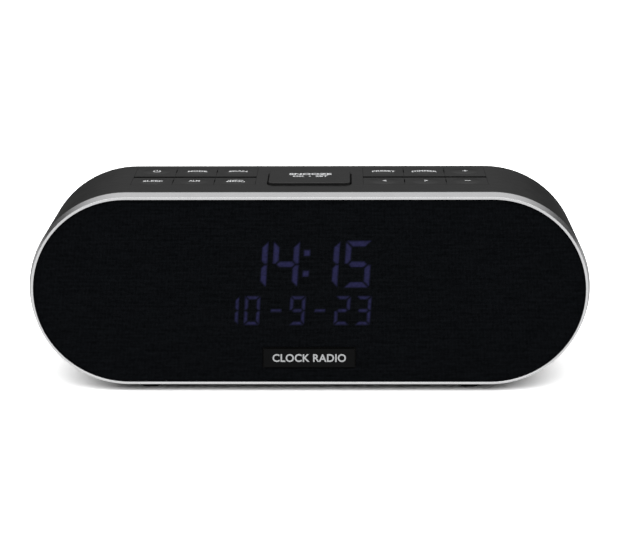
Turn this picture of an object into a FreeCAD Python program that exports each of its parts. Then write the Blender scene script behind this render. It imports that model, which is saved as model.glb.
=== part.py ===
"""Tabletop clock radio: a wide, low body with half-round ends, two small speakers and a
segment display behind one woven front cloth, thirteen push keys on top, sockets behind.

Millimetres, +Z up. The front faces -Y and +X is to the right of a person facing it. The
origin is the middle of the radio's footprint, on the surface that its feet stand on.
Every piece is one STEP file, named after the piece.
"""

import FreeCAD, Part

import math
import os

Vec = FreeCAD.Vector

# Body: a sleeve whose section is a stadium, flat above and below and half-round at the ends
WIDTH, DEPTH = 251.0, 63.6
BODY_RADIUS = 44.3
FOOT_HEIGHT = 2.5
WALL = 2.4
STRAIGHT_HALF = WIDTH / 2 - BODY_RADIUS
CENTRE_Z = FOOT_HEIGHT + BODY_RADIUS
TOP_Z = CENTRE_Z + BODY_RADIUS
FRONT_Y, BACK_Y = -DEPTH / 2, DEPTH / 2
BORE_RADIUS = BODY_RADIUS - WALL
BACK_EDGE_RADIUS = 1.0

# Front stack, from the ring's crest backwards
CLOTH_SETBACK = 1.1
CLOTH_Y = FRONT_Y + CLOTH_SETBACK
CLOTH_THICK = 0.6
GRILLE_THICK = 2.0
BAFFLE_THICK = 2.5
SEAM = 0.4  # dark joint between the ring and the shell
GRILLE_Y = CLOTH_Y + CLOTH_THICK
BAFFLE_Y = GRILLE_Y + GRILLE_THICK
SHELL_Y = BAFFLE_Y + BAFFLE_THICK
RING_BORE = 42.0
RING_CREST = 43.1
RING_FLARE_DEPTH = 5.0
RING_BACK_Y = SHELL_Y - SEAM
FLANGE_RADIUS, FLANGE_THICK = 43.5, 1.2
REBATE_PLAY = 0.05
SPIGOT_PLAY, SPIGOT_THICK, SPIGOT_DEPTH = 0.2, 2.0, 3.8
BADGE_WIDTH, BADGE_HEIGHT, BADGE_DROP = 40.8, 8.6, 31.0
BADGE_PROUD, BADGE_BORDER, BADGE_CORNER = 0.3, 0.6, 0.5

# Keys: on each side three columns in two rows, with an open slit between the rows
KEY_PITCH, KEYS_IN_ROW = 18.8, 3
KEY_OUTER_X = 80.7
KEY_INNER_X = KEY_OUTER_X - KEYS_IN_ROW * KEY_PITCH
SLIT_Y, SLIT_WIDTH, SLIT_DEPTH = 5.6, 2.6, 1.3
FRONT_KEY_DEPTH, REAR_KEY_DEPTH = 15.2, 18.7
FRONT_PILLOW_Y, REAR_PILLOW_Y = -2.9, 18.6
PILLOW_RADIUS, PILLOW_HEIGHT = 6.4, 0.45
KEY_GAP = 0.12
KEY_NOTCH_LENGTH, KEY_NOTCH = 6.0, 0.15
CAP_ROOF, CAP_WALL = 1.6, 1.3
CAP_FLANGE, CAP_FLANGE_THICK, CAP_FLANGE_PLAY = 0.8, 1.1, 0.1
STEM_RADIUS = 2.2
SNOOZE_WIDTH, SNOOZE_FRONT_Y, SNOOZE_BACK_Y = 37.0, -11.9, 15.6
SNOOZE_RISE, SNOOZE_CORNER, SNOOZE_EDGE, SNOOZE_GAP = 1.3, 3.0, 0.5, 0.3
SNOOZE_LIP = 0.35  # chamfer round its opening

# Key board and its switches, hung under the top wall
PLUNGER_TOP_Z = TOP_Z - 5.1
PLUNGER_RADIUS, PLUNGER_LENGTH, PLUNGER_PLAY = 1.7, 3.1, 0.15
SWITCH_SIDE, SWITCH_HEIGHT, SWITCH_FLOOR = 6.0, 3.5, 1.0
SWITCH_TOP_Z = PLUNGER_TOP_Z - 1.9
BOARD_THICK = 1.6
KEY_BOARD_Z = SWITCH_TOP_Z - SWITCH_HEIGHT - BOARD_THICK
KEY_BOARD_X, KEY_BOARD_Y = 88.0, (-14.0, 27.0)
KEY_BOSSES = [(21.5, 22.0), (84.5, -6.0), (84.5, 20.0)]

# Speakers
SPEAKER_X = 78.0
SPEAKER_OPENING = 25.0
SPEAKER_FLANGE = 30.5
SPEAKER_SCREW_RADIUS = 27.9
CONE_RADIUS, COIL_RADIUS = 20.2, 7.0
SPEAKER_MOUTH = 24.6
SURROUND_OUTER, SURROUND_LAP, SURROUND_THICK = 24.0, 1.2, 0.5
MAGNET_RADIUS, MAGNET_THICK, PLATE_THICK = 17.0, 6.0, 3.0
MAGNET_Y = SHELL_Y + 18.8
COIL_PLAY = 0.4

# Display
WINDOW_HALF_X, WINDOW_Z = 38.0, (27.5, 73.5)
WINDOW_THICK, WINDOW_PLAY, WINDOW_LEDGE = 2.2, 0.1, 1.0
HOUSING_HALF_X, HOUSING_Z, HOUSING_DEPTH = 40.0, (26.5, 74.5), 5.9
SEGMENT_DEPTH = 1.5
DISPLAY_SCREWS = [(x, z) for x in (-38.0, 38.0) for z in (28.2, 72.8)]
SEGMENT_LEAN = math.tan(math.radians(4.0))
SEGMENT_GAP = 0.35
TIME_HEIGHT, TIME_WIDTH, TIME_STROKE, TIME_BASE_Z = 21.6, 11.7, 2.7, 48.4
TIME_RIGHT_EDGES = (-19.2, -5.2, 12.6, 26.8)
COLON_SIDE, COLON_X, COLON_HEIGHTS = 2.9, -1.1, (6.5, 16.0)
DATE_HEIGHT, DATE_WIDTH, DATE_STROKE, DATE_BASE_Z = 13.6, 7.1, 1.75, 31.1
DATE_RIGHT_EDGES = (-31.9, -22.4, -2.2, 17.9, 27.2)
DASH_WIDTH, DASH_HEIGHT, DASH_LEFT_EDGES = 4.9, 1.5, (-17.2, 2.4)

# Main board and sockets
MAIN_BOARD_Z, MAIN_BOARD_X, MAIN_BOARD_Y = 13.0, 79.0, (-20.0, 27.5)
MAIN_BOSSES = [(x, y) for x in (-58.0, 58.0) for y in (-15.0, 22.0)]
SOCKET_Z = MAIN_BOARD_Z + BOARD_THICK + 6.0
COVER_THICK, COVER_SETBACK = 2.0, 0.4
COVER_LIP_DEPTH, COVER_LIP_THICK = 2.0, 1.8
COVER_Y = BACK_Y - COVER_SETBACK - COVER_THICK
COVER_FACE_Y = BACK_Y - COVER_SETBACK
DC_X, DC_BORE, DC_DEPTH, DC_PIN, DC_NOSE = -30.0, 3.2, 10.5, 1.0, 4.4
PHONES_X, PHONES_BORE, PHONES_DEPTH, PHONES_NOSE = -12.0, 1.8, 14.2, 3.2
SOCKET_PLAY = 0.2
ANTENNA_X, ANTENNA_HOLE, ANTENNA_WIRE = 30.0, 3.6, 1.1

# Fasteners and feet
CORNER_BOSS_REACH = 37.6
BOSS_RADIUS, BOSS_PILOT, BOSS_CLEARANCE = 4.5, 1.3, 1.5
LOW_BOSSES = [(x, 8.9) for x in (-40.0, 40.0)]
LOW_BOSS_RADIUS, LOW_BOSS_Y = 3.4, 12.0
HEAD_RADIUS, HEAD_HEIGHT, HEAD_WELL, HEAD_SINK = 2.8, 1.2, 3.1, 0.3
BOARD_PILOT, BOARD_CLEARANCE, SPEAKER_PILOT = 1.0, 1.2, 0.9
MAIN_BOSS_RADIUS, KEY_BOSS_RADIUS = 2.8, 2.4
FOOT_RADIUS, FOOT_X, FOOT_Y, FOOT_SINK = 6.0, 72.5, 18.3, 0.8

pieces = {}


# Shape helpers


def block(x, y, z):
    """A box from (low, high) pairs."""
    corner = Vec(x[0], y[0], z[0])
    return Part.makeBox(x[1] - x[0], y[1] - y[0], z[1] - z[0], corner)


def post(x, y, radius, z):
    """An upright cylinder."""
    return Part.makeCylinder(radius, z[1] - z[0], Vec(x, y, z[0]), Vec(0, 0, 1))


def rod(x, z, radius, y):
    """A cylinder that runs from front to back."""
    return Part.makeCylinder(radius, y[1] - y[0], Vec(x, y[0], z), Vec(0, 1, 0))


def outline(corners, place):
    """A closed wire through (u, v, radius) corners, each rounded to its radius; place
    turns (u, v) into a point."""
    edges, ends = [], []
    count = len(corners)
    for i, (u, v, radius) in enumerate(corners):
        here = Vec(u, v, 0)
        before = Vec(corners[i - 1][0], corners[i - 1][1], 0) - here
        after = Vec(corners[(i + 1) % count][0], corners[(i + 1) % count][1], 0) - here
        before.normalize()
        after.normalize()
        if radius:
            half_angle = before.getAngle(after) / 2
            reach = radius / math.tan(half_angle)
            middle = before + after
            middle.normalize()
            bulge = radius / math.sin(half_angle) - radius
            first, last = here + before * reach, here + after * reach
            edges.append((first, here + middle * bulge, last))
            ends.append((first, last))
        else:
            ends.append((here, here))
    parts = [Part.Arc(*(place(p.x, p.y) for p in arc)).toShape() for arc in edges]
    for i in range(count):
        start, end = ends[i - 1][1], ends[i][0]
        if (end - start).Length > 1e-7:
            a, b = place(start.x, start.y), place(end.x, end.y)
            parts.append(Part.LineSegment(a, b).toShape())
    return Part.Wire(Part.__sortEdges__(parts))


def slab_y(corners, y):
    """A plate from its outline in X and Z, between two depths."""
    wire = outline(corners, lambda u, v: Vec(u, y[0], v))
    return Part.Face(wire).extrude(Vec(0, y[1] - y[0], 0))


def slab_z(corners, z):
    """A plate from its outline in X and Y, between two heights."""
    wire = outline(corners, lambda u, v: Vec(u, v, z[0]))
    return Part.Face(wire).extrude(Vec(0, 0, z[1] - z[0]))


def rectangle(u, v, radius=0.0):
    """The corners of a rectangle from (low, high) pairs."""
    return [
        (u[0], v[0], radius),
        (u[1], v[0], radius),
        (u[1], v[1], radius),
        (u[0], v[1], radius),
    ]


def turned_y(corners, x, z=CENTRE_Z):
    """A solid of revolution about a front-to-back axis, from (radius, y, rounding)."""
    wire = outline(corners, lambda r, y: Vec(x + r, y, z))
    return Part.Face(wire).revolve(Vec(x, 0, z), Vec(0, 1, 0), 360)


def turned_z(corners, x, y):
    """A solid of revolution about an upright axis, from (radius, z, rounding)."""
    wire = outline(corners, lambda r, z: Vec(x + r, y, z))
    return Part.Face(wire).revolve(Vec(x, y, 0), Vec(0, 0, 1), 360)


def plain(corners):
    """Sharp corners from (u, v) pairs."""
    return [(u, v, 0.0) for u, v in corners]


def joined(shapes):
    """One solid from shapes that touch or overlap."""
    first, *others = shapes
    return first.multiFuse(others).removeSplitter() if others else first


def carved(shape, cuts):
    """The shape less each cut in turn."""
    for cut in cuts:
        shape = shape.cut(cut)
    return shape


def stadium(radius, y):
    """A plate with the body's stadium outline."""
    edges = []
    for side in (-1, 1):
        x = side * STRAIGHT_HALF
        start = Vec(x, y[0], CENTRE_Z - side * radius)
        end = Vec(x, y[0], CENTRE_Z + side * radius)
        tip = Vec(x + side * radius, y[0], CENTRE_Z)
        edges.append(Part.Arc(start, tip, end).toShape())
        edges.append(Part.LineSegment(end, Vec(-x, y[0], end.z)).toShape())
    wire = Part.Wire(Part.__sortEdges__(edges))
    return Part.Face(wire).extrude(Vec(0, y[1] - y[0], 0))


def stadium_ring(corners):
    """A closed ring with the body's stadium course and the section given as
    (distance from the centre line, y, rounding)."""
    parts = []
    for side in (-1, 1):
        x = side * STRAIGHT_HALF
        wire = outline(corners, lambda r, y: Vec(x, y, CENTRE_Z + side * r))
        axis = Vec(0, 1, 0)
        parts.append(Part.Face(wire).revolve(Vec(x, 0, CENTRE_Z), axis, 180))
        parts.append(Part.Face(wire).extrude(Vec(-2 * x, 0, 0)))
    return joined(parts)


def bent_strip(points, thick, x, bend):
    """A flat cable, from its course in Y and Z, with its width along X."""
    left, right = [], []
    for i, (y, z) in enumerate(points):
        steps = []
        for a, b in ((i - 1, i), (i, i + 1)):
            if a >= 0 and b < len(points):
                step = Vec(points[b][0] - points[a][0], points[b][1] - points[a][1], 0)
                step.normalize()
                steps.append(step)
        normal = sum((Vec(-s.y, s.x, 0) for s in steps), Vec(0, 0, 0))
        normal.normalize()
        reach = thick / 2 / normal.dot(Vec(-steps[0].y, steps[0].x, 0))
        turn = steps[0].cross(steps[-1]).z
        inner, outer = bend - thick / 2, bend + thick / 2
        near, far = (inner, outer) if turn > 0 else (outer, inner)
        if len(steps) == 1 or abs(turn) < 1e-6:
            near = far = 0.0
        left.append((y + normal.x * reach, z + normal.y * reach, near))
        right.append((y - normal.x * reach, z - normal.y * reach, far))
    wire = outline(left + right[::-1], lambda u, v: Vec(x[0], u, v))
    return Part.Face(wire).extrude(Vec(x[1] - x[0], 0, 0))


def lead(points, radius, bend):
    """A round wire along straight runs joined by arcs."""
    places = [Vec(*p) for p in points]
    edges, start = [], places[0]
    for i in range(1, len(places) - 1):
        before, after = places[i - 1] - places[i], places[i + 1] - places[i]
        before.normalize()
        after.normalize()
        half_angle = before.getAngle(after) / 2
        reach = bend / math.tan(half_angle)
        middle = before + after
        middle.normalize()
        bulge = bend / math.sin(half_angle) - bend
        first, last = places[i] + before * reach, places[i] + after * reach
        edges.append(Part.LineSegment(start, first).toShape())
        edges.append(Part.Arc(first, places[i] + middle * bulge, last).toShape())
        start = last
    edges.append(Part.LineSegment(start, places[-1]).toShape())
    section = Part.Circle(places[0], places[1] - places[0], radius).toShape()
    return Part.Wire(edges).makePipeShell([Part.Wire(section)], True, True)


def screw(head_radius, head_height, shank_radius, length):
    """A pan-head screw with a cross recess: its head stands on z = 0 and its shank
    points down."""
    head = turned_z(
        [(0, 0, 0), (head_radius, 0, 0), (head_radius, head_height, 0.3), (0, head_height, 0)],
        0,
        0,
    )
    shank = post(0, 0, shank_radius, (-length, 0))
    slot = (-head_radius * 0.16, head_radius * 0.16)
    reach = (-head_radius * 0.6, head_radius * 0.6)
    deep = (head_height * 0.45, head_height + 1)
    return head.fuse(shank).cut([block(slot, reach, deep), block(reach, slot, deep)])


def placed(shape, x, y, z, towards):
    """A copy of a shape made about the Z axis, with its +Z turned to a direction."""
    copy = shape.copy()
    turn = FreeCAD.Rotation(Vec(0, 0, 1), Vec(*towards))
    copy.Placement = FreeCAD.Placement(Vec(x, y, z), turn)
    return copy


def save(name, *solids):
    pieces[name] = solids[0] if len(solids) == 1 else Part.makeCompound(solids)


# Where repeated things sit


def corner_bosses():
    """Four full-depth bosses on the diagonals of the half-round ends."""
    reach = CORNER_BOSS_REACH / math.sqrt(2)
    return [
        (side * (STRAIGHT_HALF + reach), CENTRE_Z + up * reach)
        for side in (-1, 1)
        for up in (-1, 1)
    ]


def key_rows():
    """(front edge, back edge, pillow centre) of the front and the rear row."""
    front_end, rear_start = SLIT_Y - SLIT_WIDTH / 2, SLIT_Y + SLIT_WIDTH / 2
    return {
        "front": (front_end - FRONT_KEY_DEPTH, front_end, FRONT_PILLOW_Y),
        "rear": (rear_start, rear_start + REAR_KEY_DEPTH, REAR_PILLOW_Y),
    }


# Each key's row, side and column, counted outwards from the middle
KEYS = {
    "power": ("rear", -1, 2),
    "mode": ("rear", -1, 1),
    "scan": ("rear", -1, 0),
    "sleep": ("front", -1, 2),
    "alarm": ("front", -1, 1),
    "menu": ("front", -1, 0),
    "preset": ("rear", 1, 0),
    "dimmer": ("rear", 1, 1),
    "volume_up": ("rear", 1, 2),
    "previous": ("front", 1, 0),
    "next": ("front", 1, 1),
    "volume_down": ("front", 1, 2),
}


def key_centre(name):
    """X and Y of a key's pillow, its stem and its switch."""
    if name == "snooze":
        return 0.0, (SNOOZE_FRONT_Y + SNOOZE_BACK_Y) / 2
    row, side, column = KEYS[name]
    return side * (KEY_INNER_X + (column + 0.5) * KEY_PITCH), key_rows()[row][2]


# Casing


def body_shell():
    sleeve = stadium_ring(
        [
            (BORE_RADIUS, SHELL_Y, 0),
            (BODY_RADIUS, SHELL_Y, 0.2),
            (BODY_RADIUS, BACK_Y, BACK_EDGE_RADIUS),
            (BORE_RADIUS, BACK_Y, 0.3),
        ]
    )
    bosses = [rod(x, z, BOSS_RADIUS, (SHELL_Y, COVER_Y)) for x, z in corner_bosses()]
    floor, roof = CENTRE_Z - BORE_RADIUS - 1, CENTRE_Z + BORE_RADIUS + 1
    for x, z in LOW_BOSSES:
        bosses.append(rod(x, z, LOW_BOSS_RADIUS, (LOW_BOSS_Y, COVER_Y)))
        bosses.append(block((x - 1.2, x + 1.2), (LOW_BOSS_Y, COVER_Y), (floor, z - 2)))
    bosses += [post(x, y, MAIN_BOSS_RADIUS, (floor, MAIN_BOARD_Z)) for x, y in MAIN_BOSSES]
    hung = [(side * x, y) for side in (-1, 1) for x, y in KEY_BOSSES]
    under = KEY_BOARD_Z + BOARD_THICK
    bosses += [post(x, y, KEY_BOSS_RADIUS, (under, roof)) for x, y in hung]
    shell = joined([sleeve, *bosses])

    cuts = []
    for x, z in corner_bosses():
        cuts.append(rod(x, z, BOSS_PILOT, (SHELL_Y - 1, SHELL_Y + 9)))
        cuts.append(rod(x, z, BOSS_PILOT, (COVER_Y - 9, COVER_Y + 1)))
    cuts += [rod(x, z, BOSS_PILOT, (COVER_Y - 9, COVER_Y + 1)) for x, z in LOW_BOSSES]
    deep = (MAIN_BOARD_Z - 6, MAIN_BOARD_Z + 1)
    cuts += [post(x, y, BOARD_PILOT, deep) for x, y in MAIN_BOSSES]
    cuts += [post(x, y, BOARD_PILOT, (under - 1, under + 5)) for x, y in hung]
    cuts += key_windows()
    for x in (-FOOT_X, FOOT_X):
        for y in (-FOOT_Y, FOOT_Y):
            cuts.append(post(x, y, FOOT_RADIUS + 0.1, (0, FOOT_HEIGHT + FOOT_SINK)))
    shell = carved(shell, cuts)
    reach = SNOOZE_WIDTH / 2 + SNOOZE_GAP + 0.1
    lip = [
        edge
        for edge in shell.Edges
        if all(abs(v.Z - TOP_Z) < 1e-6 and abs(v.X) < reach for v in edge.Vertexes)
        and SNOOZE_FRONT_Y - 1 < edge.CenterOfMass.y < SNOOZE_BACK_Y + 1
    ]
    save("body_shell", shell.makeChamfer(SNOOZE_LIP, lip))


def key_windows():
    """What the keys' openings and the slits between the rows take from the top wall."""
    through = (CENTRE_Z + BORE_RADIUS - 0.5, TOP_Z + 1)
    cuts = []
    for side in (-1, 1):
        x = sorted((side * KEY_INNER_X, side * KEY_OUTER_X))
        for front, back, _ in key_rows().values():
            cuts.append(block(x, (front, back), through))
        slit = (SLIT_Y - SLIT_WIDTH / 2, SLIT_Y + SLIT_WIDTH / 2)
        cuts.append(block(x, slit, (TOP_Z - SLIT_DEPTH, TOP_Z + 1)))
    half = SNOOZE_WIDTH / 2 + SNOOZE_GAP
    y = (SNOOZE_FRONT_Y - SNOOZE_GAP, SNOOZE_BACK_Y + SNOOZE_GAP)
    corner = SNOOZE_CORNER + SNOOZE_GAP
    cuts.append(slab_z(rectangle((-half, half), y, corner), through))
    return cuts


def trim_ring():
    flare_y = FRONT_Y + RING_FLARE_DEPTH
    rebate_y = RING_BACK_Y - (FLANGE_THICK - SEAM) - REBATE_PLAY
    rebate = FLANGE_RADIUS + REBATE_PLAY
    save(
        "trim_ring",
        stadium_ring(
            [
                (RING_BORE, rebate_y, 0),
                (RING_BORE, FRONT_Y, 0.12),
                (RING_CREST, FRONT_Y, 0.15),
                (BODY_RADIUS, flare_y, 0.5),
                (BODY_RADIUS, RING_BACK_Y, 0.15),
                (rebate, RING_BACK_Y, 0),
                (rebate, rebate_y, 0),
            ]
        ),
    )


def front_baffle():
    plate = stadium(RING_BORE - 0.1, (BAFFLE_Y, SHELL_Y))
    flange = stadium(FLANGE_RADIUS, (SHELL_Y - FLANGE_THICK, SHELL_Y))
    spigot_end = SHELL_Y + SPIGOT_DEPTH
    outer = BORE_RADIUS - SPIGOT_PLAY
    spigot = stadium(outer, (SHELL_Y, spigot_end))
    cuts = [stadium(outer - SPIGOT_THICK, (SHELL_Y, spigot_end + 1))]
    for x, z in corner_bosses():
        cuts.append(rod(x, z, BOSS_RADIUS + 0.4, (SHELL_Y, spigot_end + 1)))
        cuts.append(rod(x, z, BOSS_CLEARANCE, (BAFFLE_Y - 1, SHELL_Y + 1)))
        cuts.append(rod(x, z, HEAD_WELL, (BAFFLE_Y - 1, BAFFLE_Y + HEAD_HEIGHT + HEAD_SINK)))
    for x in (-SPEAKER_X, SPEAKER_X):
        cuts.append(rod(x, CENTRE_Z, SPEAKER_OPENING, (BAFFLE_Y - 1, SHELL_Y + 1)))
        for sx, sz in speaker_screws_at(x):
            cuts.append(rod(sx, sz, SPEAKER_PILOT, (SHELL_Y - 1.8, SHELL_Y + 1)))
    for grow, back in ((WINDOW_PLAY, BAFFLE_Y + WINDOW_THICK), (-WINDOW_LEDGE, SHELL_Y + 1)):
        wide = (-WINDOW_HALF_X - grow, WINDOW_HALF_X + grow)
        tall = (WINDOW_Z[0] - grow, WINDOW_Z[1] + grow)
        cuts.append(block(wide, (BAFFLE_Y - 1, back), tall))
    save("front_baffle", carved(joined([plate, flange, spigot]), cuts))


def grille_frame():
    """A flat carrier for the cloth, open before the speakers and the display."""
    plate = stadium(RING_BORE - 0.2, (GRILLE_Y, BAFFLE_Y))
    deep = (GRILLE_Y - 1, BAFFLE_Y + 1)
    cuts = []
    for x in (-SPEAKER_X, SPEAKER_X):
        hole = rod(x, CENTRE_Z, SPEAKER_OPENING, deep)
        upright = block((x - 1, x + 1), deep, (0, TOP_Z))
        level = block((x - 30, x + 30), deep, (CENTRE_Z - 1, CENTRE_Z + 1))
        cuts.append(hole.cut([upright, level]))
    cuts.append(block((-WINDOW_HALF_X + 1, WINDOW_HALF_X - 1), deep, WINDOW_Z))
    save("grille_frame", carved(plate, cuts))


def badge_outline(border):
    middle = CENTRE_Z - BADGE_DROP
    half_x, half_z = BADGE_WIDTH / 2 + border, BADGE_HEIGHT / 2 + border
    span = (middle - half_z, middle + half_z)
    return rectangle((-half_x, half_x), span, BADGE_CORNER)


def grille_cloth():
    sheet = stadium(RING_BORE - 0.05, (CLOTH_Y, GRILLE_Y))
    opening = slab_y(badge_outline(BADGE_BORDER), (CLOTH_Y - 1, GRILLE_Y + 1))
    save("grille_cloth", carved(sheet, [opening]))


def badge_plate():
    save("badge_plate", slab_y(badge_outline(0.0), (CLOTH_Y - BADGE_PROUD, GRILLE_Y)))


def rear_cover():
    radius = BORE_RADIUS - 0.2
    lip_y = COVER_Y - COVER_LIP_DEPTH
    tray = stadium(radius, (lip_y, COVER_FACE_Y))
    cuts = [stadium(radius - COVER_LIP_THICK, (lip_y - 1, COVER_Y))]
    for x, z in corner_bosses() + LOW_BOSSES:
        cuts.append(rod(x, z, BOSS_RADIUS + 0.4, (lip_y - 1, COVER_Y)))
        cuts.append(rod(x, z, BOSS_CLEARANCE, (COVER_Y - 1, BACK_Y)))
        cuts.append(rod(x, z, HEAD_WELL, (COVER_FACE_Y - HEAD_HEIGHT, BACK_Y)))
    deep = (COVER_Y - 1, BACK_Y)
    cuts.append(rod(DC_X, SOCKET_Z, DC_NOSE + SOCKET_PLAY, deep))
    cuts.append(rod(PHONES_X, SOCKET_Z, PHONES_NOSE + SOCKET_PLAY, deep))
    cuts.append(rod(ANTENNA_X, SOCKET_Z, ANTENNA_HOLE, deep))
    save("rear_cover", carved(tray, cuts))


def rubber_feet():
    top = FOOT_HEIGHT + FOOT_SINK
    corners = [(0, 0, 0), (FOOT_RADIUS, 0, 0.6), (FOOT_RADIUS, top, 0), (0, top, 0)]
    spots = [(x, y) for x in (-FOOT_X, FOOT_X) for y in (-FOOT_Y, FOOT_Y)]
    save("rubber_feet", *[turned_z(corners, x, y) for x, y in spots])


def casing_screws():
    long_screw = screw(HEAD_RADIUS, HEAD_HEIGHT, BOSS_PILOT, 8.5)
    cover_y, baffle_y = COVER_FACE_Y - HEAD_HEIGHT, BAFFLE_Y + HEAD_HEIGHT + HEAD_SINK
    rear = [placed(long_screw, x, cover_y, z, (0, 1, 0)) for x, z in corner_bosses()]
    rear += [placed(long_screw, x, cover_y, z, (0, 1, 0)) for x, z in LOW_BOSSES]
    front = [placed(long_screw, x, baffle_y, z, (0, -1, 0)) for x, z in corner_bosses()]
    save("cover_screws", *rear)
    save("baffle_screws", *front)


# Keys and their switches


def small_key(name):
    row, side, column = KEYS[name]
    front, back, pillow_y = key_rows()[row]
    inner = KEY_INNER_X + column * KEY_PITCH
    outer = inner + KEY_PITCH
    inner += KEY_GAP if column == 0 else KEY_GAP / 2
    outer -= KEY_GAP if column == KEYS_IN_ROW - 1 else KEY_GAP / 2
    x = sorted((side * inner, side * outer))
    y = (front + KEY_GAP, back - KEY_GAP)
    flange_top = TOP_Z - WALL - CAP_FLANGE_PLAY
    bottom = flange_top - CAP_FLANGE_THICK
    cap = block(x, y, (bottom, TOP_Z))
    flange = block(x, (front - CAP_FLANGE, back + CAP_FLANGE), (bottom, flange_top))
    pillow_x, _ = key_centre(name)
    ball_radius = (PILLOW_RADIUS**2 + PILLOW_HEIGHT**2) / (2 * PILLOW_HEIGHT)
    ball_z = TOP_Z + PILLOW_HEIGHT - ball_radius
    ball = Part.makeSphere(ball_radius, Vec(pillow_x, pillow_y, ball_z), Vec(1, 0, 0))
    round_cut = post(pillow_x, pillow_y, PILLOW_RADIUS + 0.2, (TOP_Z - 0.15, TOP_Z + 1))
    dome = ball.common(round_cut)
    cuts = [hollow_under(x, y, bottom)]
    notch_y = (pillow_y - KEY_NOTCH_LENGTH / 2, pillow_y + KEY_NOTCH_LENGTH / 2)
    for edge, neighbour in ((inner, column > 0), (outer, column < KEYS_IN_ROW - 1)):
        if neighbour:
            notch_x = (side * edge - KEY_NOTCH, side * edge + KEY_NOTCH)
            cuts.append(block(notch_x, notch_y, (TOP_Z - 1.2, TOP_Z + 1)))
    stem = post(pillow_x, pillow_y, STEM_RADIUS, (PLUNGER_TOP_Z, TOP_Z - CAP_ROOF / 2))
    hollow = joined([cap, flange, dome]).cut(cuts)
    save("key_" + name, joined([hollow, stem]))
    save("plunger_" + name, plunger(pillow_x, pillow_y))


def hollow_under(x, y, bottom):
    inside_x, inside_y = (x[0] + CAP_WALL, x[1] - CAP_WALL), (y[0] + CAP_WALL, y[1] - CAP_WALL)
    return block(inside_x, inside_y, (bottom - 1, TOP_Z - CAP_ROOF))


def snooze_key():
    half = SNOOZE_WIDTH / 2
    y = (SNOOZE_FRONT_Y, SNOOZE_BACK_Y)
    flange_top = TOP_Z - WALL - CAP_FLANGE_PLAY
    bottom, top = flange_top - CAP_FLANGE_THICK, TOP_Z + SNOOZE_RISE
    cap = slab_z(rectangle((-half, half), y, SNOOZE_CORNER), (bottom, top))
    rim = [e for e in cap.Edges if all(abs(v.Z - top) < 1e-6 for v in e.Vertexes)]
    cap = cap.makeFillet(SNOOZE_EDGE, rim)
    reach = (y[0] - CAP_FLANGE, y[1] + CAP_FLANGE)
    flange = block((-half + SNOOZE_CORNER, half - SNOOZE_CORNER), reach, (bottom, flange_top))
    x, middle = key_centre("snooze")
    stem = post(x, middle, STEM_RADIUS, (PLUNGER_TOP_Z, TOP_Z - CAP_ROOF / 2))
    hollow = joined([cap, flange]).cut(hollow_under((-half, half), y, bottom))
    save("key_snooze", joined([hollow, stem]))
    save("plunger_snooze", plunger(x, middle))


def plunger(x, y):
    return post(x, y, PLUNGER_RADIUS, (PLUNGER_TOP_Z - PLUNGER_LENGTH, PLUNGER_TOP_Z))


def switch_bodies():
    solids = []
    base = SWITCH_TOP_Z - SWITCH_HEIGHT
    for name in [*KEYS, "snooze"]:
        x, y = key_centre(name)
        half = SWITCH_SIDE / 2
        case = block((x - half, x + half), (y - half, y + half), (base, SWITCH_TOP_Z))
        well = post(x, y, PLUNGER_RADIUS + PLUNGER_PLAY, (base + SWITCH_FLOOR, SWITCH_TOP_Z + 1))
        solids.append(case.cut(well))
    save("switch_bodies", *solids)


def key_board():
    z = (KEY_BOARD_Z, KEY_BOARD_Z + BOARD_THICK)
    board = block((-KEY_BOARD_X, KEY_BOARD_X), KEY_BOARD_Y, z)
    hung = [(side * x, y) for side in (-1, 1) for x, y in KEY_BOSSES]
    holes = [post(x, y, BOARD_CLEARANCE, (z[0] - 1, z[1] + 1)) for x, y in hung]
    save("key_board", board.cut(holes))


# Speakers, one on each side


def speaker_screws_at(x):
    reach = SPEAKER_SCREW_RADIUS / math.sqrt(2)
    return [(x + a * reach, CENTRE_Z + b * reach) for a in (-1, 1) for b in (-1, 1)]


def speaker(side):
    x = SPEAKER_X if side == "right" else -SPEAKER_X
    y = SHELL_Y
    seat = MAGNET_Y - PLATE_THICK
    save(side + "_speaker_frame", speaker_frame(x, y, seat))
    save(side + "_speaker_cone", speaker_cone(x, y))
    save(side + "_speaker_suspension", surround(x, y), spider(x, y))
    save(side + "_speaker_magnet", *magnet(x, seat))


def speaker_frame(x, y, seat):
    """A stamped basket: flange, sloping wall with four windows, and the seat that the
    magnet is riveted to."""
    throat = COIL_RADIUS + 1.2
    basket = turned_y(
        plain(
            [
                (SPEAKER_MOUTH, y),
                (SPEAKER_FLANGE, y),
                (SPEAKER_FLANGE, y + 1.4),
                (25.9, y + 1.4),
                (16.5, seat),
                (throat, seat),
                (throat, seat - 0.9),
                (15.6, seat - 0.9),
                (23.4, y + 1.5),
                (SPEAKER_MOUTH, y + 1.5),
            ]
        ),
        x,
    )
    cuts = []
    middle = y + (seat - y) * 0.52
    for angle in range(0, 360, 90):
        way = Vec(math.cos(math.radians(angle)), 0, math.sin(math.radians(angle)))
        start = Vec(x, middle, CENTRE_Z) + way * 12
        cuts.append(Part.makeCylinder(5.0, 20, start, way))
    for sx, sz in speaker_screws_at(x):
        cuts.append(rod(sx, sz, 1.1, (y - 1, y + 3)))
    tab = block((x - 5, x + 5), (seat - 0.9, seat), (CENTRE_Z - 22, CENTRE_Z - 14))
    return joined([basket.cut(cuts), tab])


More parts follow.
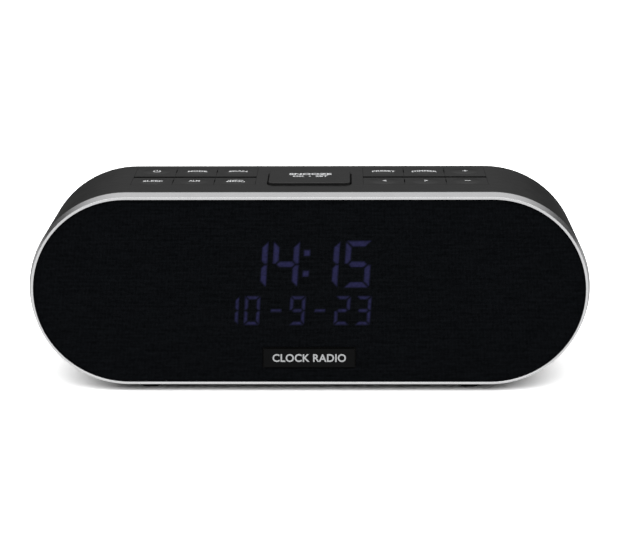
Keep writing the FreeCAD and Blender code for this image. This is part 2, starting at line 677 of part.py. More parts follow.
def speaker_cone(x, y):
    """Paper cone, dust cap and voice-coil former, which move as one."""
    front, neck, tail = y + 1.9, y + 9.6, y + 21.4
    thick, inner = 0.5, COIL_RADIUS - 0.4
    cone = turned_y(
        plain(
            [
                (inner, neck),
                (CONE_RADIUS, front),
                (CONE_RADIUS, front + thick),
                (COIL_RADIUS, neck + thick + 0.35),
                (COIL_RADIUS, tail),
                (inner, tail),
            ]
        ),
        x,
    )
    cap_radius, cap_height, cap_thick = 8.6, 2.2, 0.4
    ball = (cap_radius**2 + cap_height**2) / (2 * cap_height)
    rim_y = neck - (cap_radius - inner) * (neck - front) / (CONE_RADIUS - inner)
    centre = Vec(x, rim_y - cap_height + ball, CENTRE_Z)
    bowl = Part.makeSphere(ball, centre).cut(Part.makeSphere(ball - cap_thick, centre))
    reach = rod(x, CENTRE_Z, cap_radius, (rim_y - cap_height - 1, rim_y + 0.3))
    return joined([cone, bowl.common(reach)])


def surround(x, y):
    """The soft half-roll between the cone's edge and the frame."""
    front, back = y + 1.0, y + 1.0 + SURROUND_THICK
    inner, outer = CONE_RADIUS - SURROUND_LAP, SPEAKER_MOUTH
    centre = (CONE_RADIUS + SURROUND_OUTER) / 2
    over = SURROUND_OUTER - centre
    under = over - SURROUND_THICK

    def place(radius, depth):
        return Vec(x + radius, depth, CENTRE_Z)

    def arch(reach):
        crown = place(centre, front - reach)
        feet = place(centre + reach, front), place(centre - reach, front)
        return Part.Arc(feet[0], crown, feet[1]).toShape()

    def run(*corners):
        ends = [place(*corner) for corner in corners]
        return [Part.LineSegment(a, b).toShape() for a, b in zip(ends, ends[1:])]

    edges = [arch(over), arch(under)]
    edges += run((centre - over, front), (inner, front), (inner, back))
    edges += run((inner, back), (centre - under, back), (centre - under, front))
    edges += run((centre + under, front), (centre + under, back), (outer, back))
    edges += run((outer, back), (outer, front), (centre + over, front))
    wire = Part.Wire(Part.__sortEdges__(edges))
    return Part.Face(wire).revolve(Vec(x, 0, CENTRE_Z), Vec(0, 1, 0), 360)


def spider(x, y):
    """The corrugated disc that centres the coil."""
    middle, thick, waves = y + 12.4, 0.4, 4
    inner, outer = COIL_RADIUS + 0.05, 16.6
    count = 2 * waves + 1
    step = (outer - inner) / (count - 1)
    course = [
        (inner + i * step, middle + (0.5 if i % 2 and 0 < i < count - 1 else 0))
        for i in range(count)
    ]
    back = [(r, v + thick) for r, v in reversed(course)]
    return turned_y(plain(course + back), x)


def magnet(x, seat):
    """Top plate, ring magnet and the yoke with its pole."""
    gap_outer, pole = COIL_RADIUS + COIL_PLAY, COIL_RADIUS - 0.4 - COIL_PLAY
    top = rod(x, CENTRE_Z, 16.0, (seat, MAGNET_Y)).cut(
        rod(x, CENTRE_Z, gap_outer, (seat - 1, MAGNET_Y + 1))
    )
    end = MAGNET_Y + MAGNET_THICK
    ring = rod(x, CENTRE_Z, MAGNET_RADIUS, (MAGNET_Y, end)).cut(
        rod(x, CENTRE_Z, 10.0, (MAGNET_Y - 1, end + 1))
    )
    plate = rod(x, CENTRE_Z, 16.0, (end, end + PLATE_THICK))
    yoke = joined([plate, rod(x, CENTRE_Z, pole, (seat, end + 0.5))])
    return top, ring, yoke


def speaker_fixings():
    small = screw(1.9, 1.0, 0.9, 3.0)
    seat = SHELL_Y + 1.4
    spots = [spot for x in (-SPEAKER_X, SPEAKER_X) for spot in speaker_screws_at(x)]
    save("speaker_screws", *[placed(small, x, seat, z, (0, 1, 0)) for x, z in spots])


def speaker_leads():
    top = MAIN_BOARD_Z + BOARD_THICK
    seat = MAGNET_Y - PLATE_THICK
    leads = []
    for x in (-SPEAKER_X, SPEAKER_X):
        for offset in (-3.0, 3.0):
            z = CENTRE_Z - 20
            course = [(x + offset, seat, z), (x + offset, seat + 7, z), (x + offset, seat + 7, top)]
            leads.append(lead(course, 0.7, 3.0))
    save("speaker_leads", *leads)


# Display


def segment_bars(width, height, stroke):
    """The seven bars of one digit, as outlines in its own frame, before it leans. Each
    bar is mitred at its ends and the gap lies between neighbours."""
    gap = SEGMENT_GAP * stroke / TIME_STROKE
    right, top, middle, t = width, height, height / 2, stroke
    upper = [(right, top - gap), (right, middle + gap), (right - t / 2, middle + gap * 0.6)]
    upper += [(right - t, middle + t / 2 + gap), (right - t, top - t - gap)]
    level = [(gap, top), (right - gap, top), (right - t - gap, top - t), (t + gap, top - t)]
    centre = [(t / 2 + gap, middle), (t + gap, middle + t / 2), (right - t - gap, middle + t / 2)]
    centre += [(right - t / 2 - gap, middle), (right - t - gap, middle - t / 2)]
    centre += [(t + gap, middle - t / 2)]
    across = lambda bar: [(right - u, v) for u, v in bar]
    under = lambda bar: [(u, top - v) for u, v in bar]
    return {
        "a": level,
        "b": upper,
        "c": under(upper),
        "d": under(level),
        "e": across(under(upper)),
        "f": across(upper),
        "g": centre,
    }


def display_outlines():
    """Every bar, colon dot and dash, in X and Z."""
    shapes = []
    rows = (
        (TIME_RIGHT_EDGES, TIME_WIDTH, TIME_HEIGHT, TIME_STROKE, TIME_BASE_Z),
        (DATE_RIGHT_EDGES, DATE_WIDTH, DATE_HEIGHT, DATE_STROKE, DATE_BASE_Z),
    )
    for edges, width, height, stroke, base in rows:
        for edge in edges:
            for bar in segment_bars(width, height, stroke).values():
                shapes.append((bar, edge - width, base))
    dot, dash = COLON_SIDE / 2, DASH_HEIGHT / 2
    for up in COLON_HEIGHTS:
        square = [(-dot, up - dot), (dot, up - dot), (dot, up + dot), (-dot, up + dot)]
        shapes.append((square, COLON_X - SEGMENT_LEAN * TIME_HEIGHT / 2, TIME_BASE_Z))
    half = DATE_HEIGHT / 2
    for edge in DASH_LEFT_EDGES:
        bar = [(0, half - dash), (DASH_WIDTH, half - dash), (DASH_WIDTH, half + dash), (0, half + dash)]
        shapes.append((bar, edge - SEGMENT_LEAN * half, DATE_BASE_Z))
    return [
        [(left + u + SEGMENT_LEAN * v, base + v) for u, v in points]
        for points, left, base in shapes
    ]


def display():
    front = SHELL_Y
    bars = [slab_y(plain(points), (front, front + SEGMENT_DEPTH)) for points in display_outlines()]
    save("display_segments", *bars)
    x, z = (-HOUSING_HALF_X, HOUSING_HALF_X), HOUSING_Z
    back = front + HOUSING_DEPTH
    bores = [rod(sx, sz, 1.0, (front - 1, back + 3)) for sx, sz in DISPLAY_SCREWS]
    inside = block((x[0] + 4, x[1] - 4), (front + 3, back + 1), (z[0] + 4, z[1] - 4))
    save("display_housing", block(x, (front, back), z).cut([*bars, *bores, inside]))
    board = block((x[0] - 2, x[1] + 2), (back, back + BOARD_THICK), (z[0] - 1, z[1] + 1))
    save("display_board", board.cut(bores))
    window = block(
        (-WINDOW_HALF_X, WINDOW_HALF_X), (BAFFLE_Y, BAFFLE_Y + WINDOW_THICK), WINDOW_Z
    )
    save("display_window", window)


# Boards inside and the sockets at the back


def main_board():
    z = (MAIN_BOARD_Z, MAIN_BOARD_Z + BOARD_THICK)
    board = block((-MAIN_BOARD_X, MAIN_BOARD_X), MAIN_BOARD_Y, z)
    holes = [post(x, y, BOARD_CLEARANCE, (z[0] - 1, z[1] + 1)) for x, y in MAIN_BOSSES]
    save("main_board", board.cut(holes))


def tuner_shield():
    """A folded tin box over the receiver, open towards the board."""
    top = MAIN_BOARD_Z + BOARD_THICK
    box = block((14, 44), (-12, 12), (top, top + 5))
    save("tuner_shield", box.cut(block((14.5, 43.5), (-11.5, 11.5), (top - 1, top + 4.5))))


def board_components():
    top = MAIN_BOARD_Z + BOARD_THICK
    solids = []
    for x, y, radius, height in ((-44, -4, 5.0, 16.0), (-31, -4, 5.0, 16.0), (-44, 10, 4.0, 11.0)):
        solids.append(
            turned_z(
                [(0, top, 0), (radius, top, 0.4), (radius, top + height, 0.6), (0, top + height, 0)],
                x,
                y,
            )
        )
    for x, y, side, height in ((-14, -2, 12.0, 1.2), (4, 10, 7.0, 4.0), (-20, 11, 7.0, 4.0)):
        half = side / 2
        solids.append(block((x - half, x + half), (y - half, y + half), (top, top + height)))
    solids.append(block((-8, 8), (-16.0, -13.0), (top, top + 3)))
    solids.append(block((-8, 8), (17.0, 20.0), (top, top + 3)))
    save("board_components", *solids)


def board_screws():
    long_screw = screw(2.0, 1.2, 1.0, 6.0)
    top = MAIN_BOARD_Z + BOARD_THICK
    solids = [placed(long_screw, x, y, top, (0, 0, 1)) for x, y in MAIN_BOSSES]
    for side in (-1, 1):
        for x, y in KEY_BOSSES:
            solids.append(placed(long_screw, side * x, y, KEY_BOARD_Z, (0, 0, -1)))
    back = SHELL_Y + HOUSING_DEPTH + BOARD_THICK
    display_screw = screw(1.7, 1.0, 1.0, HOUSING_DEPTH + BOARD_THICK)
    solids += [placed(display_screw, x, back, z, (0, 1, 0)) for x, z in DISPLAY_SCREWS]
    save("board_screws", *solids)


def ribbon_cables():
    """Flat cables from the display board and the key board down to the main board."""
    top = MAIN_BOARD_Z + BOARD_THICK + 3
    display_y = SHELL_Y + HOUSING_DEPTH + BOARD_THICK
    low = [(display_y, 34), (-14.5, 34), (-14.5, top)]
    tall = [(18.5, KEY_BOARD_Z), (18.5, 62), (14.0, 50), (18.5, 38), (18.5, top)]
    strips = [bent_strip(low, 0.3, (-7, 7), 1.2), bent_strip(tall, 0.3, (-7, 7), 4.0)]
    save("ribbon_cables", *strips)


def sockets():
    """Barrel power inlet and headphone socket, soldered to the main board."""
    top = MAIN_BOARD_Z + BOARD_THICK
    face = COVER_FACE_Y
    shoulder = COVER_Y - 0.2
    bottom = face - DC_DEPTH
    case = block((DC_X - 4.8, DC_X + 4.8), (bottom - 2, shoulder), (top, SOCKET_Z + 4.8))
    nose = rod(DC_X, SOCKET_Z, DC_NOSE, (shoulder - 1, face))
    bore = rod(DC_X, SOCKET_Z, DC_BORE, (bottom, face + 1))
    pin = rod(DC_X, SOCKET_Z, DC_PIN, (bottom - 1, face - 1.0))
    save("dc_jack", joined([joined([case, nose]).cut(bore), pin]))
    bottom = face - PHONES_DEPTH
    case = block((PHONES_X - 3.8, PHONES_X + 3.8), (bottom - 1.5, shoulder), (top, SOCKET_Z + 3.8))
    nose = rod(PHONES_X, SOCKET_Z, PHONES_NOSE, (shoulder - 1, face))
    bore = rod(PHONES_X, SOCKET_Z, PHONES_BORE, (bottom, face + 1))
    save("headphone_jack", joined([case, nose]).cut(bore))


def antenna_grommet():
    """The soft bush that the wire antenna passes through."""
    hole = ANTENNA_WIRE
    body = turned_y(
        [
            (hole, COVER_Y - 1.4, 0),
            (ANTENNA_HOLE + 1.2, COVER_Y - 1.4, 0.3),
            (ANTENNA_HOLE + 1.2, COVER_Y, 0),
            (ANTENNA_HOLE, COVER_Y, 0),
            (ANTENNA_HOLE, COVER_FACE_Y, 0),
            (ANTENNA_HOLE + 1.2, COVER_FACE_Y, 0),
            (ANTENNA_HOLE + 1.2, BACK_Y, 0.2),
            (hole, BACK_Y, 0),
        ],
        ANTENNA_X,
        SOCKET_Z,
    )
    save("antenna_grommet", body)


def build():
    for make in (
        body_shell,
        trim_ring,
        front_baffle,
        grille_frame,
        grille_cloth,
        badge_plate,
        rear_cover,
        rubber_feet,
        casing_screws,
        snooze_key,
        switch_bodies,
        key_board,
        speaker_fixings,
        speaker_leads,
        display,
        main_board,
        tuner_shield,
        board_components,
        board_screws,
        ribbon_cables,
        sockets,
        antenna_grommet,
    ):
        make()
    for name in KEYS:
        small_key(name)
    for side in ("left", "right"):
        speaker(side)
    os.makedirs("parts", exist_ok=True)
    for name, shape in pieces.items():
        shape.exportStep("parts/" + name + ".step")
        print(name, "valid" if shape.isValid() else "NOT VALID", round(shape.Volume, 1))
    print(len(pieces), "pieces")


build()
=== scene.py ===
"""Looks of the tabletop clock radio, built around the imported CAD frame.

Metres, +Z up, the front faces -Y. The body is satin moulded plastic, the front is a woven
cloth in a satin metal ring, and the segments shine dimly through the weave.
"""

import math

import bmesh
import bpy
from mathutils import Matrix, Vector
from mathutils.bvhtree import BVHTree


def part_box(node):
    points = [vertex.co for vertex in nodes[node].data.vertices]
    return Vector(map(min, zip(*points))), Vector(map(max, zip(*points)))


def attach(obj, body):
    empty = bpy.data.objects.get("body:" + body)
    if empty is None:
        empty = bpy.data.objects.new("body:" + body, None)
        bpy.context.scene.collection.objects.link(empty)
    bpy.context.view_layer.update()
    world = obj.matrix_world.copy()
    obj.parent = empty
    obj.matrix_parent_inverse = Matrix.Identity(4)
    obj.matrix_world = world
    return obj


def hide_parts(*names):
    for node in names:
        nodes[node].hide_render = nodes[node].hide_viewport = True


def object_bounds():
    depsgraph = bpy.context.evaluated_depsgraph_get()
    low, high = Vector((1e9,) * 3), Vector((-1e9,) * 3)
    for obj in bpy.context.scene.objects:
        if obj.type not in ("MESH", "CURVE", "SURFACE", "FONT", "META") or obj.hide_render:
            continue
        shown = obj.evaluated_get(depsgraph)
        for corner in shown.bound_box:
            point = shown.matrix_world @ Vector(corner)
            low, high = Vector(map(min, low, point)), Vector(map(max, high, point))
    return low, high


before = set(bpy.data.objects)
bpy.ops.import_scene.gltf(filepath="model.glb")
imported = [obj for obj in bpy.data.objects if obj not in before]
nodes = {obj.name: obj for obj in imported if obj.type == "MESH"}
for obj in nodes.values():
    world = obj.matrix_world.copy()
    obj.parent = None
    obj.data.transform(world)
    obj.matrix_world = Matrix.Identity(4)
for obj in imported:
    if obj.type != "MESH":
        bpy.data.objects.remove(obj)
cad_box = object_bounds()

MM = 0.001
scene = bpy.context.scene
scene.view_settings.view_transform = "Standard"
scene.view_settings.look = "None"


# Camera

CAMERA_AT = (0.01603, -0.9077, 0.2846)
CAMERA_YAW, CAMERA_PITCH, CAMERA_ROLL = -0.0177, 0.2592, 0.0049  # radians; it looks down
LENS, SENSOR_WIDTH = 118.34, 36.0  # millimetres


def place_camera():
    yaw, pitch, roll = CAMERA_YAW, CAMERA_PITCH, CAMERA_ROLL
    forward = Vector(
        (math.sin(yaw) * math.cos(pitch), math.cos(yaw) * math.cos(pitch), -math.sin(pitch))
    )
    level = Vector((math.cos(yaw), -math.sin(yaw), 0.0))
    down = -level.cross(forward)
    right = level * math.cos(roll) + down * math.sin(roll)
    lower = down * math.cos(roll) - level * math.sin(roll)
    camera = bpy.data.objects.new("camera", bpy.data.cameras.new("camera"))
    camera.data.sensor_width = SENSOR_WIDTH
    camera.data.lens = LENS
    camera.data.clip_start = 0.01
    camera.data.clip_end = 60.0
    turn = Matrix((right, -lower, -forward)).transposed()
    camera.matrix_world = Matrix.Translation(Vector(CAMERA_AT)) @ turn.to_4x4()
    scene.collection.objects.link(camera)
    scene.camera = camera


# Material helpers

SHADER_INPUTS = {
    "Base_Color": "Base Color",
    "Specular": "Specular IOR Level",
    "Coat": "Coat Weight",
    "Coat_Roughness": "Coat Roughness",
    "Emission": "Emission Color",
    "Emission_Strength": "Emission Strength",
}


class Graph:
    """The node tree of a material or of the world, with one call for each node."""

    def __init__(self, name, world=False):
        self.material = (bpy.data.worlds if world else bpy.data.materials).new(name)
        self.material.use_nodes = True
        self.tree = self.material.node_tree
        self.tree.nodes.clear()
        kind = "World" if world else "Material"
        self.output = self.tree.nodes.new(f"ShaderNodeOutput{kind}")
        where = self.add("ShaderNodeTexCoord").outputs
        self.place = where["Generated" if world else "Object"]

    def add(self, kind, inputs=None, **settings):
        node = self.tree.nodes.new(kind)
        for key, value in settings.items():
            setattr(node, key, value)
        for key, value in (inputs or {}).items():
            if isinstance(value, bpy.types.NodeSocket):
                self.tree.links.new(value, node.inputs[key])
            else:
                node.inputs[key].default_value = value
        return node

    def noise(self, size, detail=2.0, roughness=0.5, where=None):
        """A noise pattern whose features are about size metres across."""
        wanted = {"Vector": where or self.place, "Scale": 1.0 / size}
        wanted.update({"Detail": detail, "Roughness": roughness})
        return self.add("ShaderNodeTexNoise", wanted).outputs["Fac"]

    def stretched(self, x, y, z):
        """The place with each axis scaled, so that a pattern is drawn out along a small one."""
        wanted = {"Vector": self.place, "Scale": (x, y, z)}
        return self.add("ShaderNodeMapping", wanted).outputs["Vector"]

    def remap(self, value, low, high, to_low, to_high):
        wanted = {"Value": value, "From Min": low, "From Max": high}
        wanted.update({"To Min": to_low, "To Max": to_high})
        return self.add("ShaderNodeMapRange", wanted).outputs["Result"]

    def math(self, operation, first, second=0.0):
        return self.add("ShaderNodeMath", {0: first, 1: second}, operation=operation).outputs[0]

    def ramp(self, value, stops):
        """Colours between (position, (r, g, b)) stops."""
        node = self.add("ShaderNodeValToRGB", {"Fac": value})
        elements = node.color_ramp.elements
        while len(elements) < len(stops):
            elements.new(0.5)
        for element, (position, colour) in zip(elements, stops):
            element.position = position
            element.color = (*colour, 1.0)
        return node.outputs["Color"]

    def mix(self, share, first, second):
        """Colours mixed, from first at share 0 to second at share 1."""
        node = self.add("ShaderNodeMix", data_type="RGBA")
        for index, value in ((0, share), (6, first), (7, second)):
            if isinstance(value, bpy.types.NodeSocket):
                self.tree.links.new(value, node.inputs[index])
            else:
                node.inputs[index].default_value = value if index == 0 else (*value, 1.0)
        return node.outputs[2]

    def bump(self, height, depth, strength):
        """Relief of depth metres from a height between 0 and 1."""
        wanted = {"Height": height, "Distance": depth, "Strength": strength}
        return self.add("ShaderNodeBump", wanted).outputs["Normal"]

    def finish(self, **inputs):
        """The material, once its surface shader has these inputs."""
        wanted = {SHADER_INPUTS.get(key, key): value for key, value in inputs.items()}
        shader = self.add("ShaderNodeBsdfPrincipled", wanted)
        self.tree.links.new(shader.outputs[0], self.output.inputs["Surface"])
        return self.material


def grey(value, tint=(1.0, 1.0, 1.0)):
    """A grey of this value, or a darker or lighter shade of a tint."""
    return tuple(value * share for share in tint)


def moulded(
    name, dark, light, roughness, grain=0.35 * MM, depth=0.012 * MM, tint=(1, 1, 1), specular=0.5
):
    """Moulded plastic: a fine spark texture, faint flow clouds and uneven gloss."""
    g = Graph(name)
    fine = g.noise(grain, 3.0, 0.6)
    clouds = g.noise(18 * MM, 3.0, 0.55)
    specks = g.noise(0.9 * MM, 1.0)
    share = g.math("ADD", g.math("MULTIPLY", clouds, 0.7), g.math("MULTIPLY", specks, 0.3))
    colour = g.ramp(share, [(0.3, grey(dark, tint)), (0.7, grey(light, tint))])
    rough = g.remap(g.noise(6 * MM, 4.0, 0.6), 0.3, 0.7, roughness - 0.05, roughness + 0.05)
    normal = g.bump(fine, depth, 0.8)
    return g.finish(Base_Color=colour, Roughness=rough, Normal=normal, Specular=specular)


def bare_metal(name, colour, roughness, along, depth=0.004 * MM):
    """Satin metal with fine scratches drawn out along one axis."""
    g = Graph(name)
    stretch = {"x": (0.03, 1, 1), "y": (1, 0.03, 1), "z": (1, 1, 0.03)}[along]
    lines = g.noise(0.25 * MM, 3.0, 0.65, g.stretched(*stretch))
    clouds = g.noise(9 * MM, 3.0, 0.6)
    tone = g.ramp(clouds, [(0.3, grey(0.94, colour)), (0.7, colour)])
    rough = g.remap(lines, 0.25, 0.75, roughness - 0.06, roughness + 0.08)
    normal = g.bump(lines, depth, 0.5)
    return g.finish(Base_Color=tone, Metallic=1.0, Roughness=rough, Normal=normal)


def granular(name, colour, roughness, metallic):
    """Plated or sintered parts with a granular skin."""
    g = Graph(name)
    grains = g.noise(0.5 * MM, 3.0, 0.7)
    clouds = g.noise(5 * MM, 3.0)
    tone = g.ramp(clouds, [(0.3, grey(0.75, colour)), (0.72, colour)])
    rough = g.remap(grains, 0.3, 0.7, roughness - 0.08, roughness + 0.1)
    return g.finish(
        Base_Color=tone, Metallic=metallic, Roughness=rough, Normal=g.bump(grains, 0.015 * MM, 0.6)
    )


THREAD = 0.62 * MM  # from one thread to the next


def weave(g):
    """The height and the tone of a plain weave in the X-Z plane, both from 0 to about 1. The tone
    follows the height, so the low places between threads carry painted shade; random unevenness
    and slubs vary it too.
    """
    split = g.add("ShaderNodeSeparateXYZ", {"Vector": g.place})
    drift = g.remap(g.noise(3.2 * MM, 2.0), 0.2, 0.8, -0.5, 0.5)
    waves = []
    for axis in ("X", "Z"):
        phase = g.math("MULTIPLY", split.outputs[axis], math.pi / THREAD)
        waves.append(g.math("SINE", g.math("ADD", phase, drift)))
    warp, weft = (g.math("ABSOLUTE", wave) for wave in waves)
    over = g.remap(g.math("MULTIPLY", waves[0], waves[1]), -0.25, 0.25, 0.0, 1.0)
    height = g.math(
        "ADD",
        g.math("MULTIPLY", warp, over),
        g.math("MULTIPLY", weft, g.math("SUBTRACT", 1.0, over)),
    )
    fibre = g.noise(0.12 * MM, 3.0, 0.7)
    uneven = g.noise(1.7 * MM, 3.0, 0.7)
    slubs = g.noise(2.4 * MM, 2.0, 0.6, g.stretched(0.25, 1.0, 2.2))
    # Painted shade: the tone is darker where the threads dip, and random unevenness and slubs vary
    # it on top
    tone = g.math("MULTIPLY", height, g.remap(uneven, 0.25, 0.75, 0.45, 1.3))
    tone = g.math("MULTIPLY", tone, g.remap(slubs, 0.3, 0.7, 0.7, 1.2))
    return g.math("ADD", height, g.math("MULTIPLY", fibre, 0.35)), tone


# The dark end is painted shade in the hollows between threads, the light end the thread crowns
CLOTH_HOLLOW_SHADE, CLOTH_LIGHT = (0.0002, 0.0003, 0.0004), (0.0066, 0.0076, 0.0092)
DISPLAY_GLOW = (0.0210, 0.0200, 0.0690)


def speaker_cloth(name):
    """Woven cloth that the display shines through where its points have "lit" above 0."""
    g = Graph(name)
    height, tone = weave(g)
    # Thread colour from the tone, with painted shade in the weave's hollows
    thread = g.ramp(tone, [(0.05, CLOTH_HOLLOW_SHADE), (0.95, CLOTH_LIGHT)])
    lit = g.add("ShaderNodeAttribute", attribute_name="lit").outputs["Fac"]
    patchy = g.remap(g.noise(1.3 * MM, 4.0, 0.75), 0.28, 0.72, 0.55, 1.3)
    through = g.math("MULTIPLY", g.math("MULTIPLY", lit, patchy), g.remap(tone, 0, 0.9, 1.25, 0.6))
    glow = g.mix(through, grey(0.0), DISPLAY_GLOW)
    return g.finish(
        Base_Color=thread,
        Roughness=0.85,
        Normal=g.bump(height, 0.09 * MM, 0.7),
        Specular=0.02,
        Emission=glow,
        Emission_Strength=1.0,
    )


def printed_ink(name, colour, roughness=0.6):
    """Screen-printed ink, slightly mottled."""
    g = Graph(name)
    mottle = g.noise(0.3 * MM, 3.0, 0.7)
    tone = g.ramp(mottle, [(0.25, grey(0.8, colour)), (0.75, colour)])
    rough = g.remap(mottle, 0.3, 0.7, roughness - 0.08, roughness + 0.08)
    return g.finish(
        Base_Color=tone, Roughness=rough, Normal=g.bump(mottle, 0.006 * MM, 0.5), Specular=0.4
    )


def solder_mask(name):
    """A green board with darker tracks under the mask."""
    g = Graph(name)
    cells = g.add(
        "ShaderNodeTexVoronoi",
        {"Vector": g.place, "Scale": 1 / (4.5 * MM)},
        feature="DISTANCE_TO_EDGE",
        distance="CHEBYCHEV",
    )
    tracks = g.remap(cells.outputs["Distance"], 0.03, 0.06, 0.0, 1.0)
    colour = g.mix(tracks, (0.012, 0.085, 0.035), (0.006, 0.045, 0.02))
    return g.finish(
        Base_Color=colour,
        Roughness=g.remap(g.noise(2 * MM), 0.3, 0.7, 0.25, 0.4),
        Normal=g.bump(tracks, -0.03 * MM, 0.6),
        Coat=0.3,
        Coat_Roughness=0.2,
    )


def paper_cone(name):
    """Pressed paper with matted fibres."""
    g = Graph(name)
    fibres = g.noise(0.5 * MM, 4.0, 0.75)
    pulp = g.noise(3 * MM, 3.0)
    colour = g.ramp(pulp, [(0.3, grey(0.012)), (0.7, grey(0.03))])
    return g.finish(
        Base_Color=colour, Roughness=0.8, Normal=g.bump(fibres, 0.05 * MM, 0.8), Specular=0.3
    )


def tinted(name, colour, roughness, emission=None):
    """Clear or milky mouldings: smooth, with faint swirls."""
    g = Graph(name)
    swirl = g.noise(7 * MM, 3.0)
    tone = g.ramp(swirl, [(0.3, grey(0.85, colour)), (0.7, colour)])
    rough = g.remap(g.noise(1.5 * MM), 0.3, 0.7, roughness, roughness + 0.06)
    extra = {}
    if emission:
        extra = {"Emission": g.mix(swirl, grey(0.7, emission), emission), "Emission_Strength": 1.0}
    return g.finish(
        Base_Color=tone, Roughness=rough, Normal=g.bump(swirl, 0.02 * MM, 0.3), **extra
    )


# A finish for each material slot of the record
finishes = {
    "body_plastic": moulded("body_plastic", 0.0072, 0.0092, 0.38, specular=0.45),
    "key_plastic": moulded("key_plastic", 0.0072, 0.0092, 0.38, specular=0.45),
    "cover_plastic": moulded("cover_plastic", 0.014, 0.02, 0.55, 0.7 * MM, 0.05 * MM),
    "inner_plastic": moulded("inner_plastic", 0.002, 0.004, 0.7, specular=0.1),
    "socket_plastic": moulded("socket_plastic", 0.006, 0.010, 0.35),
    "component_plastic": moulded("component_plastic", 0.012, 0.03, 0.45),
    "plunger_plastic": moulded("plunger_plastic", 0.55, 0.68, 0.4, tint=(1.0, 0.98, 0.92)),
    "foot_rubber": moulded("foot_rubber", 0.010, 0.017, 0.8, 0.6 * MM, 0.04 * MM),
    "surround_rubber": moulded("surround_rubber", 0.008, 0.014, 0.5, 0.5 * MM, 0.03 * MM),
    "badge_plastic": moulded(
        "badge_plastic", 0.0016, 0.0023, 0.3, tint=(0.9, 1.0, 1.12), specular=0.09
    ),
    "cable_jacket": moulded("cable_jacket", 0.30, 0.42, 0.5, tint=(1.0, 0.97, 0.93)),
    "trim_metal": bare_metal("trim_metal", (0.86, 0.86, 0.87), 0.22, "x", 0.0003 * MM),
    "screw_steel": bare_metal("screw_steel", (0.10, 0.10, 0.105), 0.35, "y"),
    "tinned_steel": bare_metal("tinned_steel", (0.7, 0.7, 0.68), 0.3, "x"),
    "stamped_steel": granular("stamped_steel", (0.56, 0.57, 0.58), 0.4, 1.0),
    "magnet_ferrite": granular("magnet_ferrite", grey(0.05), 0.6, 0.0),
    "circuit_board": solder_mask("circuit_board"),
    "cone_paper": paper_cone("cone_paper"),
    "smoked_lens": tinted("smoked_lens", grey(0.02), 0.08),
    "segment_diffuser": tinted("segment_diffuser", (0.35, 0.34, 0.55), 0.4, (0.05, 0.045, 0.2)),
    "front_cloth": speaker_cloth("front_cloth"),
}
for node in nodes.values():
    for place in node.material_slots:
        place.material = finishes[place.material.name]


def link(name, mesh, material, body):
    """A finished piece that rides on a body."""
    mesh.name = name
    mesh.materials.clear()
    mesh.materials.append(material)
    piece = bpy.data.objects.new(name, mesh)
    scene.collection.objects.link(piece)
    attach(piece, body)
    return piece


# Front cloth: one woven sheet, stretched over the grille and tucked in at its rim

FINE_REACH, FINE_STEP, COARSE_STEP, FAN_STEPS = 27.0 * MM, 0.5 * MM, 1.7 * MM, 72
DISPLAY_REACH = 36.5 * MM
TUCK, TUCK_DEPTH = 1.3 * MM, 0.3 * MM
SLACK, BACK_PLAY = 0.03 * MM, 0.08 * MM
NEAR_EQUAL = 0.12 * MM
BADGE_BORDER = 0.6 * MM
# How far inside the bars the glow stays, and its strength
TIME_GLOW, DATE_GLOW = (0.22 * MM, 1.0), (0.26 * MM, 0.9)
GLOW_SPREAD = 0.45 * MM

# The display's two rows: the digits, their width and their right edges in millimetres
DATE_TOP = 46.5 * MM
TIME_ROW = ("1415", 11.7 * MM, (-19.2, -5.2, 12.6, 26.8))
DATE_ROW = ("10923", 7.1 * MM, (-31.9, -22.4, -2.2, 17.9, 27.2))
DIGIT_LEAN, CELL_PLAY = math.tan(math.radians(4.0)), 0.3 * MM
DIGIT_BARS = {
    "0": "abcdef",
    "1": "bc",
    "2": "abdeg",
    "3": "abcdg",
    "4": "bcfg",
    "5": "acdfg",
    "9": "abcdfg",
}


def steps(low, high, step):
    """Even places from low to high, no more than a step apart."""
    count = max(1, math.ceil((high - low) / step - 1e-6))
    return [low + (high - low) * i / count for i in range(count + 1)]


def merged(*runs):
    """Sorted places along an axis, with near-equal neighbours taken once."""
    places = []
    for place in sorted(value for run in runs for value in run):
        if not places or place - places[-1] > NEAR_EQUAL:
            places.append(place)
    return places


def facing_front(node):
    """The front faces of a node, as lists of (x, z) corners."""
    mesh = nodes[node].data
    front = min(v.co.y for v in mesh.vertices)
    faces = []
    for polygon in mesh.polygons:
        corners = [mesh.vertices[i].co for i in polygon.vertices]
        if polygon.normal.y < -0.99 and max(c.y for c in corners) < front + 0.1 * MM:
            faces.append([(c.x, c.z) for c in corners])
    return faces


def in_order(corners):
    """The corners of a convex outline, in turn round its middle."""
    corners = sorted(corners)
    mid_x = sum(x for x, _ in corners) / len(corners)
    mid_z = sum(z for _, z in corners) / len(corners)
    return sorted(corners, key=lambda corner: math.atan2(corner[1] - mid_z, corner[0] - mid_x))


def bars_of(faces):
    """Joins triangles that share corners into the outline of one bar each."""
    groups = []
    for face in faces:
        corners = {(round(x, 6), round(z, 6)) for x, z in face}
        touching = [group for group in groups if group & corners]
        groups = [group for group in groups if not group & corners]
        groups.append(corners.union(*touching))
    return [in_order(group) for group in groups]


def bar_letter(across, up):
    """Which of a digit's seven bars lies at a place in its cell, with both from 0 to 1."""
    if 0.3 < across < 0.7:
        return "a" if up > 0.75 else "d" if up < 0.25 else "g"
    if across >= 0.7:
        return "b" if up > 0.5 else "c"
    return "f" if up > 0.5 else "e"


def is_lit(x, up, tall, row):
    """Whether the bar at a place shines: it is one of its digit's bars, or a dot or a dash."""
    digits, width, right_edges = row
    upright_x = x - DIGIT_LEAN * up
    for digit, right in zip(digits, right_edges):
        left = right * MM - width
        if left - CELL_PLAY <= upright_x <= right * MM + CELL_PLAY:
            return bar_letter((upright_x - left) / width, up / tall) in DIGIT_BARS[digit]
    return True


